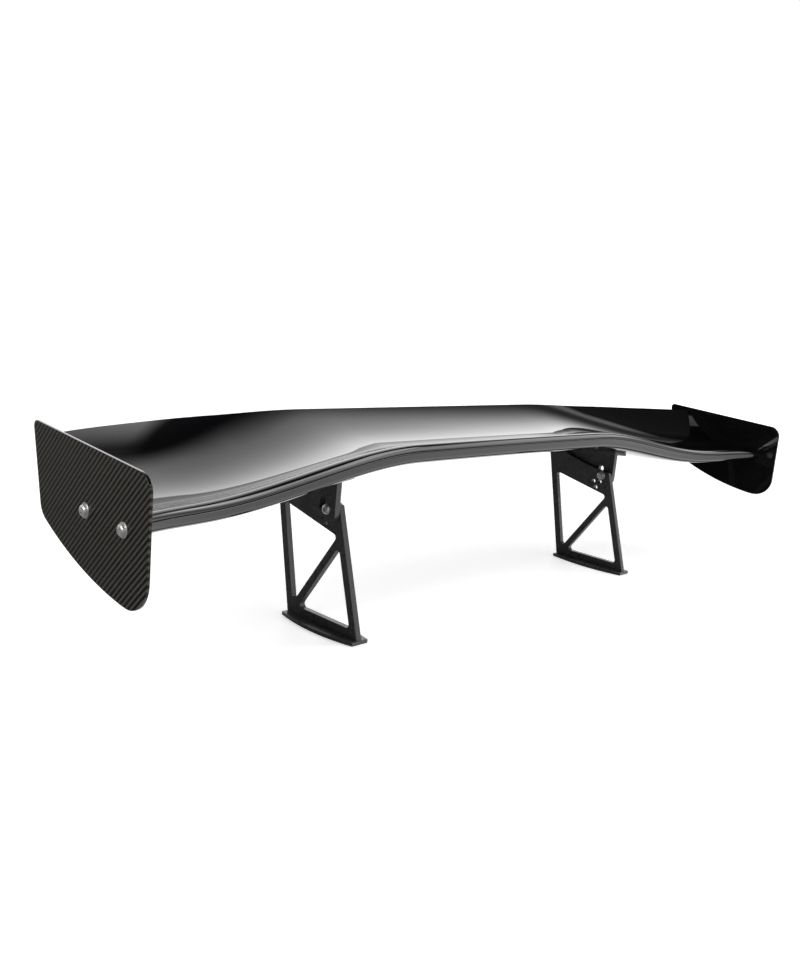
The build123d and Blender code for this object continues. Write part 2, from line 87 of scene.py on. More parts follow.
def chord_frame(x):
    """The leading edge at x, the chord's length, and its direction in y and z."""
    u = np.abs(x) / HALF_SPAN
    ly = LE_Y - LE_SWEEP_SOFT * u**2 - LE_SWEEP_TIP * u**6
    lz = LE_Z - LE_DROP * ramp(x, TWIST_START, TWIST_END)
    lz = lz + LE_TIP_RISE * ramp(x, TWIST_END, HALF_SPAN)
    v = np.maximum(np.abs(x) - SWEEP_START, 0.0) / (HALF_SPAN - SWEEP_START)
    ty = TE_Y - TE_SWEEP * v**2.1
    tz = TE_Z - TE_DROP * ramp(x, SWEEP_START, SWEEP_SETTLED)
    tz = tz + TE_TIP_RISE * ramp(x, TE_RISE_START, HALF_SPAN)
    chord = np.hypot(ty - ly, tz - lz)
    return ly, lz, chord, (ty - ly) / chord, (tz - lz) / chord


def surface(x, s, side, inset=0.0):
    """Points of the wing's surface: side -1 above, +1 below; inset goes inwards."""
    ly, lz, chord, ey, ez = chord_frame(x)
    camber = CAMBER_CENTRE + (CAMBER_TIP - CAMBER_CENTRE) * ramp(x, SWEEP_START, HALF_SPAN)
    thick = THICK_UPPER if side < 0 else THICK_LOWER
    half = thick * law(s) * chord + TRAILING_HALF * s - inset
    slope = np.arctan(4.0 * camber * (1.0 - 2.0 * s))
    along = s * chord - side * half * np.sin(slope)
    down = 4.0 * camber * s * (1.0 - s) * chord + side * half * np.cos(slope)
    y = ly + along * ey + down * ez + SHIFT
    z = lz + along * ez - down * ey
    return np.stack([x + 0.0 * y, y, z], axis=-1)


# ---- mesh helpers ----------------------------------------------------------------
def new_object(name, vertices, faces, smooth_angle=30.0):
    """An object with outward normals, smooth but for edges sharper than the angle."""
    mesh = bpy.data.meshes.new(name)
    mesh.from_pydata([tuple(v) for v in vertices], [], faces)
    mesh.validate()
    bm = bmesh.new()
    bm.from_mesh(mesh)
    bmesh.ops.recalc_face_normals(bm, faces=bm.faces)
    bm.to_mesh(mesh)
    bm.free()
    mesh.shade_smooth()
    mesh.set_sharp_from_angle(angle=math.radians(smooth_angle))
    obj = bpy.data.objects.new(name, mesh)
    bpy.context.scene.collection.objects.link(obj)
    return obj


def applied(obj):
    """Gives a piece the mesh that its modifiers make."""
    bpy.context.view_layer.update()
    graph = bpy.context.evaluated_depsgraph_get()
    mesh = bpy.data.meshes.new_from_object(obj.evaluated_get(graph), depsgraph=graph)
    obj.modifiers.clear()
    obj.data = mesh
    return mesh


def settle(obj, angle=40.0):
    """Applies a piece's modifiers, and keeps flat faces flat beside rounded edges."""
    mesh = applied(obj)
    mesh.shade_smooth()
    mesh.set_sharp_from_angle(angle=math.radians(angle))
    normals = obj.modifiers.new("normals", "WEIGHTED_NORMAL")
    normals.keep_sharp = True
    normals.weight = 100
    applied(obj)


def ring_faces(rows, columns, close_columns=False, first=0):
    """Quads of a grid of rows x columns vertices."""
    faces = []
    last = columns if close_columns else columns - 1
    for i in range(rows - 1):
        for j in range(last):
            k = (j + 1) % columns
            a = first + i * columns
            b = first + (i + 1) * columns
            faces.append((a + j, a + k, b + k, b + j))
    return faces


def rounded(points, radii, steps=8):
    """A closed outline with each corner turned to an arc of its own radius."""
    out = []
    count = len(points)
    for i, (corner, radius) in enumerate(zip(points, radii)):
        p = Vector(corner)
        if radius <= 0.0:
            out.append(p)
            continue
        a = (Vector(points[i - 1]) - p).normalized()
        b = (Vector(points[(i + 1) % count]) - p).normalized()
        half = a.angle(b) / 2.0
        centre = p + (a + b).normalized() * (radius / math.sin(half))
        start = p + a * (radius / math.tan(half))
        end = p + b * (radius / math.tan(half))
        first = math.atan2(start.y - centre.y, start.x - centre.x)
        turn = math.atan2(end.y - centre.y, end.x - centre.x) - first
        turn = (turn + math.pi) % (2.0 * math.pi) - math.pi
        for k in range(steps + 1):
            angle = first + turn * k / steps
            out.append(centre + Vector((math.cos(angle), math.sin(angle))) * radius)
    return out


def arc_through(a, b, c, steps=24):
    """Points of the arc from a to c through b, both ends included."""
    a, b, c = Vector(a), Vector(b), Vector(c)
    d = 2.0 * (a.x * (b.y - c.y) + b.x * (c.y - a.y) + c.x * (a.y - b.y))
    qa, qb, qc = a.length_squared, b.length_squared, c.length_squared
    centre = Vector(((qa * (b.y - c.y) + qb * (c.y - a.y) + qc * (a.y - b.y)) / d,
                     (qa * (c.x - b.x) + qb * (a.x - c.x) + qc * (b.x - a.x)) / d))
    first = math.atan2(a.y - centre.y, a.x - centre.x)
    turn = math.atan2(c.y - centre.y, c.x - centre.x) - first
    turn = (turn + math.pi) % (2.0 * math.pi) - math.pi
    radius = (a - centre).length
    return [centre + Vector((math.cos(first + turn * k / steps),
                             math.sin(first + turn * k / steps))) * radius
            for k in range(steps + 1)]


def circle(centre, radius, steps=48):
    """Points round a circle."""
    return [Vector(centre) + Vector((math.cos(2 * math.pi * k / steps),
                                     math.sin(2 * math.pi * k / steps))) * radius
            for k in range(steps)]


def plate(name, loops, low, high, edge, axes="yz"):
    """A flat plate with rounded edges: loops in (y, z) or (x, y), thick along the third."""
    curve = bpy.data.curves.new(name, "CURVE")
    curve.dimensions = "2D"
    curve.fill_mode = "BOTH"
    for loop in loops:
        spline = curve.splines.new("POLY")
        spline.points.add(len(loop) - 1)
        for point, at in zip(spline.points, loop):
            point.co = (at[0], at[1], 0.0, 1.0)
        spline.use_cyclic_u = True
    curve.extrude = (high - low) / 2.0 - edge
    curve.bevel_depth = edge
    curve.bevel_resolution = 2
    curve.offset = -edge
    source = bpy.data.objects.new(name + "_curve", curve)
    bpy.context.scene.collection.objects.link(source)
    bpy.context.view_layer.update()
    graph = bpy.context.evaluated_depsgraph_get()
    mesh = bpy.data.meshes.new_from_object(source.evaluated_get(graph), depsgraph=graph)
    bpy.data.objects.remove(source)
    middle = (low + high) / 2.0
    if axes == "yz":
        place = Matrix(((0, 0, 1, middle), (1, 0, 0, 0), (0, 1, 0, 0), (0, 0, 0, 1)))
    else:
        place = Matrix.Translation((0, 0, middle))
    mesh.transform(place)
    bm = bmesh.new()
    bm.from_mesh(mesh)
    bmesh.ops.remove_doubles(bm, verts=bm.verts, dist=2e-6)
    bmesh.ops.dissolve_degenerate(bm, edges=bm.edges, dist=1e-6)
    bmesh.ops.recalc_face_normals(bm, faces=bm.faces)
    bm.to_mesh(mesh)
    bm.free()
    mesh.materials.clear()
    obj = bpy.data.objects.new(name, mesh)
    bpy.context.scene.collection.objects.link(obj)
    settle(obj)
    return obj


def hexagon(angle):
    """Distance from the centre to a hexagon's side whose half width is 1."""
    turn = (angle + math.pi / 6.0) % (math.pi / 3.0) - math.pi / 6.0
    return 1.0 / math.cos(turn)


def turned(loops, segments=60):
    """A closed mesh from loops given as functions of angle to (radius, height)."""
    vertices, faces = [], []
    for loop in loops:
        for k in range(segments):
            angle = 2.0 * math.pi * k / segments
            radius, height = loop(angle)
            vertices.append((radius * math.cos(angle), radius * math.sin(angle), height))
    faces += ring_faces(len(loops), segments, True)
    return vertices, faces


def loop(radius, height):
    """A round loop for turned: the same radius at every angle."""
    return lambda angle: (radius, height)


def capped(loops, segments=60):
    """A turned mesh with its first and last loops closed."""
    vertices, faces = turned(loops, segments)
    faces.append(tuple(range(segments)))
    last = (len(loops) - 1) * segments
    faces.append(tuple(range(last, last + segments)))
    return vertices, faces


def laid_x(parts, at, x, side):
    """Turns meshes made along +Z to lie along side times X at (y, z)."""
    vertices, faces = parts
    placed = [(x + side * h, at[0] + SHIFT + side * a, at[1] + b) for a, b, h in vertices]
    return placed, faces


def merged(name, parts, smooth_angle=30.0):
    """One object from several (vertices, faces) pairs."""
    vertices, faces = [], []
    for some, more in parts:
        first = len(vertices)
        vertices += some
        faces += [tuple(first + i for i in face) for face in more]
    return new_object(name, vertices, faces, smooth_angle)


def bored(obj, holes):
    """Cuts round holes: each is a point, a direction and its (height, radius) steps."""
    parts = []
    for at, way, steps in holes:
        turn = Vector((0.0, 0.0, 1.0)).rotation_difference(Vector(way))
        vertices, faces = capped([loop(radius, height) for height, radius in steps], 40)
        parts.append(([tuple(Vector(at) + turn @ Vector(v)) for v in vertices], faces))
    cutter = merged("cutter", parts)
    modifier = obj.modifiers.new("holes", "BOOLEAN")
    modifier.operation = "DIFFERENCE"
    modifier.solver = "EXACT"
    modifier.object = cutter
    settle(obj)
    bpy.data.objects.remove(cutter)


# ---- skins -----------------------------------------------------------------------
SPAN_STEPS = 520
OUTER_STEPS = 240
INNER_STEPS = 40
LIP = 0.0011             # radius of the skins' rounded edges along the seam
LIP_STEPS = 7
OUTER_CROWDING = 2.1     # how closely the outer curve's points crowd towards the nose
INNER_START = 0.0125     # where the inner curve ends, as a chord fraction
stations = np.linspace(-SKIN_END, SKIN_END, SPAN_STEPS + 1)


def nose_point(x, along, half, side):
    """A point near the seam: along the chord, and off the mean line, in metres."""
    chord = chord_frame(x)[2]
    thick = THICK_UPPER if side < 0 else THICK_LOWER
    s = along / chord
    inset = thick * law(s) * chord + TRAILING_HALF * s - half
    return surface(x, s, side, inset)


def skin_section(x, side):
    """One skin's closed section: rounded seam edge, outer curve, trailing end, inner curve."""
    thick = THICK_UPPER if side < 0 else THICK_LOWER
    chord = chord_frame(x)[2]
    edge = SEAM_GAP / 2 + LIP
    first = (edge / (5.0 * thick * NOSE * chord))**2
    t = np.linspace(0.0, 1.0, OUTER_STEPS + 1)
    outer = surface(x, first + (1.0 - first) * t**OUTER_CROWDING, side)
    turn = np.linspace(math.pi / 2, 0.0, LIP_STEPS, endpoint=False)
    along = first * chord + LIP * (1.0 - np.cos(turn))
    lip = nose_point(x, along, edge - LIP * np.sin(turn), side)
    deep = nose_point(x, np.array([first * chord + SKIN * 1.2]), SEAM_GAP / 2, side)
    back = np.linspace(1.0, 0.0, INNER_STEPS + 1)**2.0
    inner = surface(x, INNER_START + (1.0 - INNER_START) * back, side, SKIN)
    return np.concatenate([deep, lip, outer, inner])


def skin(name, side):
    """A closed skin through its sections: side -1 is the upper one, +1 the lower one."""
    sections = [skin_section(x, side) for x in stations]
    count = len(sections[0])
    vertices = [tuple(p) for section in sections for p in section]
    faces = ring_faces(len(sections), count, True)
    faces.append(tuple(range(count)))
    last = (len(sections) - 1) * count
    faces.append(tuple(range(last, last + count)))
    return new_object(name, vertices, faces, 38.0)


upper_skin = skin("upper_skin_surface", -1)
lower_skin = skin("lower_skin_surface", +1)

# ---- endplates -------------------------------------------------------------------
PLATE = 0.004
PLATE_OUTLINE = [(88.3, 316.6), (-177.3, 297.5), (-178.5, 141.6), (63.5, 206.5)]
PLATE_LOW_MIDDLE = (-60.0, 157.6)
PLATE_RADII = [7.0, 22.0, 38.0, 26.0]
PLATE_SCREWS = [(-44.6, 232.6), (-127.8, 229.4)]
PLATE_HOLE = 4.4
PLATE_EDGE = 0.0006
REAR_TRIM, FRONT_TRIM = 46.0, 24.0     # how much of the low edge's arc each corner takes


def millimetres(points):
    """Takes (y, z) points in millimetres from the feet's middle to metres in the frame."""
    return [(a * MM + SHIFT, b * MM) for a, b in points]


def endplate_outline():
    """The plate's outline, its lower edge a shallow arc between rounded corners."""
    low = arc_through(PLATE_OUTLINE[2], PLATE_LOW_MIDDLE, PLATE_OUTLINE[3], 40)
    # the corner arcs meet the low arc's tangents: trim it by each corner's reach
    a = Vector(PLATE_OUTLINE[2])
    b = Vector(PLATE_OUTLINE[3])
    kept = [p for p in low if (p - a).length > REAR_TRIM and (p - b).length > FRONT_TRIM]
    corners = [PLATE_OUTLINE[0], PLATE_OUTLINE[1], PLATE_OUTLINE[2], kept[0]]
    line = rounded(corners + [PLATE_OUTLINE[3]], [*PLATE_RADII[:3], 0.0, 0.0], 12)
    line = line[:-2]
    tail = rounded([kept[-1], PLATE_OUTLINE[3], PLATE_OUTLINE[0]], [0.0, PLATE_RADII[3], 0.0], 12)
    return millimetres(line + kept + tail[1:-1])


def make_endplates():
    """The left and the right endplate, each with its screw holes."""
    loops = [endplate_outline()]
    loops += [millimetres(circle(at, PLATE_HOLE)) for at in PLATE_SCREWS]
    right = plate("endplate_right", loops, HALF_SPAN, HALF_SPAN + PLATE, PLATE_EDGE)
    left = plate("endplate_left", loops, -HALF_SPAN - PLATE, -HALF_SPAN, PLATE_EDGE)
    return left, right


endplate_left, endplate_right = make_endplates()

# ---- uprights, bases and brackets ------------------------------------------------
UPRIGHT_X, UPRIGHT = 0.3626, 0.010
BASE = 6.0
FOOT_HALF, REAR_LEAN, FRONT_LEAN = 79.5, 0.2226, 0.3145
MEMBER, BRACE, BRACE_FALL = 13.0, 12.0, 1.424
BRACE_MIDDLE, SILL_MIDDLE, SILL_RISE = (20.0, 80.5), (43.0, 163.3), 0.2237
CREST_FRONT, CREST_MIDDLE, CREST_REAR = 195.0, (50.0, 208.0), (88.0, 219.8)
EAR_FRONT, EAR_TOP, EAR_CORNER = 92.0, 240.0, 9.0
PIVOT, CLAMP = (-4.8, 187.5), (104.0, 226.0)
SPARE_HOLES = [(-1.5, 174.8), (13.0, 173.3), (6.5, 161.5)]
SPARE_HOLE, BOLT_HOLE = 4.3, 4.1
WINDOW_CORNER = 5.5
STAND_EDGE, FOOT_EDGE = 0.0005, 0.0006


def meet(p, d, q, e):
    """Where the line through p along d crosses the line through q along e."""
    t = ((q[0] - p[0]) * e[1] - (q[1] - p[1]) * e[0]) / (d[0] * e[1] - d[1] * e[0])
    return p[0] + t * d[0], p[1] + t * d[1]


def upright_loops():
    """The upright's outline, its two windows, its spare holes and its bolt holes."""
    rear_top = (FOOT_HALF + REAR_LEAN * (EAR_TOP - BASE), EAR_TOP)
    front_top = (-FOOT_HALF + FRONT_LEAN * (CREST_FRONT - BASE), CREST_FRONT)
    crest = arc_through(front_top, CREST_MIDDLE, CREST_REAR)
    ear = rounded([CREST_REAR, (EAR_FRONT, EAR_TOP), rear_top, (FOOT_HALF, BASE)],
                  [0.0, EAR_CORNER, EAR_CORNER, 0.0], 10)
    outline = [(-FOOT_HALF, BASE), *crest[:-1], *ear]
    rear_way, front_way = (REAR_LEAN, 1.0), (FRONT_LEAN, 1.0)
    rear = (FOOT_HALF - MEMBER * math.hypot(*rear_way), BASE)
    front = (-FOOT_HALF + MEMBER * math.hypot(*front_way), BASE)
    brace_way, sill_way = (1.0, -BRACE_FALL), (1.0, SILL_RISE)
    half = BRACE / 2 * math.hypot(*brace_way)
    above = (BRACE_MIDDLE[0], BRACE_MIDDLE[1] + half)
    below = (BRACE_MIDDLE[0], BRACE_MIDDLE[1] - half)
    floor, level = (0.0, BASE + MEMBER), (1.0, 0.0)
    upper = [meet(rear, rear_way, SILL_MIDDLE, sill_way),
             meet(rear, rear_way, above, brace_way),
             meet(above, brace_way, SILL_MIDDLE, sill_way)]
    lower = [meet(front, front_way, below, brace_way), meet(front, front_way, floor, level),
             meet(below, brace_way, floor, level)]
    loops = [outline] + [rounded(window, [WINDOW_CORNER] * 3) for window in (upper, lower)]
    loops += [circle(at, SPARE_HOLE) for at in SPARE_HOLES]
    loops += [circle(at, BOLT_HOLE) for at in (PIVOT, CLAMP)]
    return [millimetres(points) for points in loops]


BASE_HALF_WIDTH, BASE_BOW, BASE_REAR, BASE_FRONT = 15.2, 11.0, 80.0, -82.0
BASE_SCREW_Y = [-56.0, 0.0, 56.0]
SCREW_HEAD_HOLE, SCREW_SHANK_HOLE = 0.00615, 0.00315
SCREW_SINK, SCREW_DEPTH = 0.003, 0.017
MOUNT_X, MOUNT_Y = 16.0, 30.0
MOUNT_HOLE, MOUNT_DEPTH = 0.003, 0.005


def foot_holes(side):
    """Countersinks for the foot's screws and the blind mounting holes, from below."""
    x = side * UPRIGHT_X
    sunk = [(-MM, SCREW_HEAD_HOLE), (0.0, SCREW_HEAD_HOLE), (SCREW_SINK, SCREW_SHANK_HOLE),
            (SCREW_DEPTH, SCREW_SHANK_HOLE)]
    blind = [(-MM, MOUNT_HOLE), (MOUNT_DEPTH, MOUNT_HOLE)]
    holes = [((x, y * MM + SHIFT, 0.0), (0, 0, 1), sunk) for y in BASE_SCREW_Y]
    holes += [((x + a * MM, b * MM + SHIFT, 0.0), (0, 0, 1), blind)
              for a in (-MOUNT_X, MOUNT_X) for b in (-MOUNT_Y, MOUNT_Y)]
    return holes


def base_loop(side):
    """The foot's outline, with bowed long sides."""
    w, bow = BASE_HALF_WIDTH, BASE_HALF_WIDTH + BASE_BOW
    middle = (BASE_REAR + BASE_FRONT) / 2
    right = arc_through((w, BASE_FRONT), (bow, middle), (w, BASE_REAR), 32)
    left = arc_through((-w, BASE_REAR), (-bow, middle), (-w, BASE_FRONT), 32)
    return [(a * MM + side * UPRIGHT_X, b * MM + SHIFT) for a, b in right + left]


BRACKET_X = 0.3727
BRACKET = 0.010
BRACKET_FRONT, BRACKET_LOW = -22.5, 166.8
BRACKET_KNEE, BRACKET_REAR = (66.0, 197.0), (122.0, 199.0)
BRACKET_CORNERS = [0.0, 11.0, 30.0, 14.0, 0.0]
CLAMP_SLOT, SPARE_SLOT_WIDTH = 8.6, 11.0
SLOT_FROM, SLOT_TO = -8.5, 2.5         # degrees about the front bolt, from the clamp bolt
FLANGE, SHIM = 0.006, 0.0003
FLANGE_HALF = 0.020
FLANGE_FROM, FLANGE_TO = 0.155, 0.80
SPARE_SLOT = [(5.2, 200.6), (7.4, 189.6)]


def slot_outline(points, width):
    """A slot of round ends along a line of points."""
    points = [Vector(p) for p in points]
    first = (points[1] - points[0]).normalized()
    last = (points[-1] - points[-2]).normalized()
    right, left = [], []
    for i, p in enumerate(points):
        a = points[max(i - 1, 0)]
        b = points[min(i + 1, len(points) - 1)]
        way = (b - a).normalized()
        out = Vector((-way.y, way.x)) * (width / 2)
        left.append(p + out)
        right.append(p - out)
    def cap(centre, way):
        start = math.atan2(way.y, way.x) - math.pi / 2
        return [centre + Vector((math.cos(start + math.pi * k / 12),
                                 math.sin(start + math.pi * k / 12))) * (width / 2)
                for k in range(1, 12)]
    return right + cap(points[-1], last) + left[::-1] + cap(points[0], -first)


def bracket_loops():
    """The bracket's outline, its curved clamp slot, its spare slot and its bolt hole."""
    s = np.linspace(FLANGE_FROM + 0.03, FLANGE_TO - 0.02, 24)
    under = surface(BRACKET_X, s, +1, -SHIM - FLANGE / 2)
    points = [((p[1] - SHIFT) / MM, p[2] / MM) for p in under]
    points = [p for p in points if BRACKET_FRONT + 3.0 < p[0] < BRACKET_REAR[0] - 3.0]
    first = (BRACKET_FRONT, points[0][1] + 1.0)
    last = (BRACKET_REAR[0], points[-1][1] + 3.0)
    corners = [first, (BRACKET_FRONT, BRACKET_LOW), BRACKET_KNEE, BRACKET_REAR, last]
    outline = rounded(corners, BRACKET_CORNERS, 12) + points[::-1]
    radius = math.dist(PIVOT, CLAMP)
    start = math.degrees(math.atan2(CLAMP[1] - PIVOT[1], CLAMP[0] - PIVOT[0]))
    arc = [(PIVOT[0] + radius * math.cos(math.radians(start + d)),
            PIVOT[1] + radius * math.sin(math.radians(start + d)))
           for d in np.linspace(SLOT_FROM, SLOT_TO, 12)]
    loops = [outline, slot_outline(arc, CLAMP_SLOT), slot_outline(SPARE_SLOT, SPARE_SLOT_WIDTH),
             circle(PIVOT, BOLT_HOLE)]
    return [millimetres(points) for points in loops]


FLANGE_SCREW_AT, FLANGE_SCREW_SIDE = [0.26, 0.53], 0.0125
FLANGE_HOLE, FLANGE_SINK = 0.00265, 0.00515
FLANGE_STRIPS = 8


def flange_holes(side):
    """Countersunk holes along the normals of the lower skin."""
    face = SHIM + FLANGE
    steps = [(-0.002, FLANGE_HOLE), (face - 0.003, FLANGE_HOLE), (face - 0.0005, FLANGE_SINK),
             (face + 0.003, FLANGE_SINK)]
    holes = []
    for s in FLANGE_SCREW_AT:
        for x in (side * BRACKET_X - FLANGE_SCREW_SIDE, side * BRACKET_X + FLANGE_SCREW_SIDE):
            at = surface(x, s, +1)
            across = surface(x + MM, s, +1) - surface(x - MM, s, +1)
            along = surface(x, s + 0.005, +1) - surface(x, s - 0.005, +1)
            way = Vector(np.cross(along, across)).normalized()
            holes.append((tuple(at), way if way.z < 0.0 else -way, steps))
    return holes


def flange(name, side):
    """The bracket's top flange, a strip that follows the lower skin."""
    s = np.linspace(FLANGE_FROM, FLANGE_TO, 40)
    sections = []
    for x in np.linspace(-FLANGE_HALF, FLANGE_HALF, FLANGE_STRIPS + 1) + side * BRACKET_X:
        top = surface(x, s, +1, -SHIM)
        low = surface(x, s[::-1], +1, -SHIM - FLANGE)
        sections.append(np.concatenate([top, low]))
    count = len(sections[0])
    vertices = [tuple(p) for section in sections for p in section]
    faces = ring_faces(len(sections), count, True)
    faces.append(tuple(range(count)))
    faces.append(tuple(range(FLANGE_STRIPS * count, (FLANGE_STRIPS + 1) * count)))
    obj = new_object(name, vertices, faces, 40.0)
    soften(obj, 0.0006)
    bored(obj, flange_holes(side))
    return obj


def soften(obj, width, segments=2):
    """Rounds the sharp edges of a piece and applies it."""
    modifier = obj.modifiers.new("edge", "BEVEL")
    modifier.width = width
    modifier.segments = segments
    modifier.limit_method = "ANGLE"
    modifier.angle_limit = math.radians(50.0)
    settle(obj, 50.0)


def mirror_x(low, high, side):
    """A span in x, mirrored for the left side."""
    return (low, high) if side > 0 else (-high, -low)


supports = {}
for label, side in (("left", -1), ("right", +1)):
    low, high = mirror_x(UPRIGHT_X - UPRIGHT / 2, UPRIGHT_X + UPRIGHT / 2, side)
    supports[label + "_upright"] = plate(f"upright_{label}", upright_loops(), low, high,
                                         STAND_EDGE)
    supports[label + "_base"] = plate(f"base_{label}", [base_loop(side)], 0.0, BASE * MM,
                                      FOOT_EDGE, "xy")
    bored(supports[label + "_base"], foot_holes(side))
    bored(supports[label + "_upright"], foot_holes(side)[:3])
    low, high = mirror_x(BRACKET_X - BRACKET / 2, BRACKET_X + BRACKET / 2, side)
    supports[label + "_bracket"] = plate(f"bracket_{label}", bracket_loops(), low, high,
                                         STAND_EDGE)
    supports[label + "_flange"] = flange(f"bracket_flange_{label}", side)

# ---- fasteners -------------------------------------------------------------------
SHANK, PLATE_SHANK = 0.004, 0.00395
HEAD, HEAD_HEIGHT, SOCKET = 0.014, 0.0044, 0.00248
WASHER, WASHER_BORE = 0.0012, 0.0042
SMALL_WASHER, LARGE_WASHER = 0.008, 0.009     # outer radii
NUT_ACROSS, NUT_HEIGHT, NUT_BORE = 0.013, 0.0065, 0.00405
PLATE_SCREW_REACH = 0.010
PLAY = 0.00005


def button_head(length, shank):
    """A button-head screw along Z: domed head with a hexagon socket, shank below."""
    r, h = HEAD / 2, HEAD_HEIGHT
    dome = []
    for k in range(11):
        a = k / 10.0
        dome.append(loop(r * (1.0 - 0.58 * a**1.7), h * (0.3 + 0.7 * math.sin(a * math.pi / 2))))
    def hexed(height, grow=1.0):
        return lambda angle: (SOCKET * grow * hexagon(angle), height)
    loops = [loop(shank * 0.75, -length), loop(shank, -length + 0.0008), loop(shank, 0.0),
             loop(r - 0.0003, 0.0), loop(r, 0.0003), *dome,
             hexed(h, 1.06), hexed(h - 0.0003), hexed(h * 0.36)]
    return capped(loops)


def washer(outer, inner):
    """A flat washer along Z with its outer edges broken."""
    e = 0.00015
    return turned([loop(inner, 0.0), loop(outer - e, 0.0), loop(outer, e),
                   loop(outer, WASHER - e), loop(outer - e, WASHER), loop(inner, WASHER),
                   loop(inner, 0.0)])


def nut(across, height, bore):
    """A hexagon nut along Z, chamfered at both ends."""
    r = across / 2
    tilt = math.tan(math.radians(30.0))
    def shoulder(angle):
        out = r * hexagon(angle)
        return out, height - (out - r * 0.97) * tilt
    def heel(angle):
        out = r * hexagon(angle)
        return out, (out - r * 0.97) * tilt
    return turned([loop(bore, 0.0), loop(r * 0.97, 0.0), heel, shoulder,
                   loop(r * 0.97, height), loop(bore + 0.0004, height),
                   loop(bore, height - 0.0004), loop(bore, 0.0)])


def weld(obj):
    """Joins the points that meet, where a turned mesh closes on itself."""
    bm = bmesh.new()
    bm.from_mesh(obj.data)
    bmesh.ops.remove_doubles(bm, verts=bm.verts, dist=1e-6)
    bmesh.ops.recalc_face_normals(bm, faces=bm.faces)
    bm.to_mesh(obj.data)
    bm.free()


def metres(at):
    """Takes a millimetre point to metres. laid_x adds the shift."""
    return at[0] * MM, at[1] * MM


fasteners = {}
plate_screws, plate_washers = [], []
for side in (-1, 1):
    for at in PLATE_SCREWS:
        outer = side * (HALF_SPAN + PLATE)
        plate_washers.append(laid_x(washer(LARGE_WASHER, WASHER_BORE), metres(at), outer, side))
        plate_screws.append(laid_x(button_head(PLATE + WASHER + PLATE_SCREW_REACH, PLATE_SHANK),
                                   metres(at), outer + side * WASHER, side))
fasteners["endplate_screws"] = merged("endplate_screw_heads", plate_screws)
fasteners["endplate_washers"] = merged("endplate_screw_washers", plate_washers)
for name, at, wide in (("front", PIVOT, SMALL_WASHER), ("rear", CLAMP, LARGE_WASHER)):
    bolts, washers, nuts = [], [], []
    for side in (-1, 1):
        seat = BRACKET_X + BRACKET / 2 + PLAY + WASHER
        inner = UPRIGHT_X - UPRIGHT / 2
        reach = seat - (inner - WASHER - NUT_HEIGHT) + 0.0015
        bolts.append(laid_x(button_head(reach, SHANK), metres(at), side * seat, side))
        washers.append(laid_x(washer(wide, WASHER_BORE), metres(at), side * (seat - WASHER), side))
        washers.append(laid_x(washer(SMALL_WASHER, WASHER_BORE), metres(at), side * inner, -side))
        nuts.append(laid_x(nut(NUT_ACROSS, NUT_HEIGHT, NUT_BORE), metres(at),
                           side * (inner - WASHER), -side))
    fasteners[name + "_bolts"] = merged(f"{name}_bolt_pair", bolts)
    fasteners[name + "_washers"] = merged(f"{name}_bolt_washers", washers)
    fasteners[name + "_nuts"] = merged(f"{name}_bolt_nuts", nuts)
for obj in fasteners.values():
    weld(obj)

# ---- materials -------------------------------------------------------------------
class Nodes:
    """A small wrapper that makes and links a material's nodes."""

    def __init__(self, name):
        self.material = bpy.data.materials.new(name)
        self.material.use_nodes = True
        self.tree = self.material.node_tree
        self.shader = self.tree.nodes["Principled BSDF"]
        self.place = self.new("ShaderNodeTexCoord").outputs["Object"]

    def new(self, kind, **settings):
        node = self.tree.nodes.new(kind)
        for key, value in settings.items():
            setattr(node, key, value)
        return node

    def put(self, source, target):
        if isinstance(source, (int, float, tuple)):
            target.default_value = source
        else:
            self.tree.links.new(source, target)

    def math(self, operation, a, b=0.0, c=0.0):
        node = self.new("ShaderNodeMath", operation=operation)
        for source, target in zip((a, b, c), node.inputs):
            self.put(source, target)
        return node.outputs[0]

    def noise(self, scale, detail=2.0, rough=0.5, vector=None):
        node = self.new("ShaderNodeTexNoise")
        self.put(vector or self.place, node.inputs["Vector"])
        node.inputs["Scale"].default_value = scale
        node.inputs["Detail"].default_value = detail
        node.inputs["Roughness"].default_value = rough
        return node.outputs["Fac"]

    def stretched(self, factors, turn=(0.0, 0.0, 0.0)):
        node = self.new("ShaderNodeMapping")
        self.put(self.place, node.inputs["Vector"])
        node.inputs["Scale"].default_value = factors
        node.inputs["Rotation"].default_value = turn
        return node.outputs[0]

    def ramp(self, value, low, high, a, b):
        node = self.new("ShaderNodeMapRange", clamp=True)
        for source, target in zip((value, low, high, a, b), node.inputs):
            self.put(source, target)
        return node.outputs[0]

    def mix(self, factor, a, b):
        node = self.new("ShaderNodeMix", data_type="RGBA")
        self.put(factor, node.inputs[0])
        self.put(a, node.inputs[6])
        self.put(b, node.inputs[7])
        return node.outputs[2]

    def bump(self, height, distance, strength=1.0, before=None):
        node = self.new("ShaderNodeBump")
        self.put(height, node.inputs["Height"])
        node.inputs["Distance"].default_value = distance
        node.inputs["Strength"].default_value = strength
        if before is not None:
            self.put(before, node.inputs["Normal"])
        return node.outputs[0]

    def set(self, **values):
        for key, value in values.items():
            self.put(value, self.shader.inputs[key.replace("_", " ")])


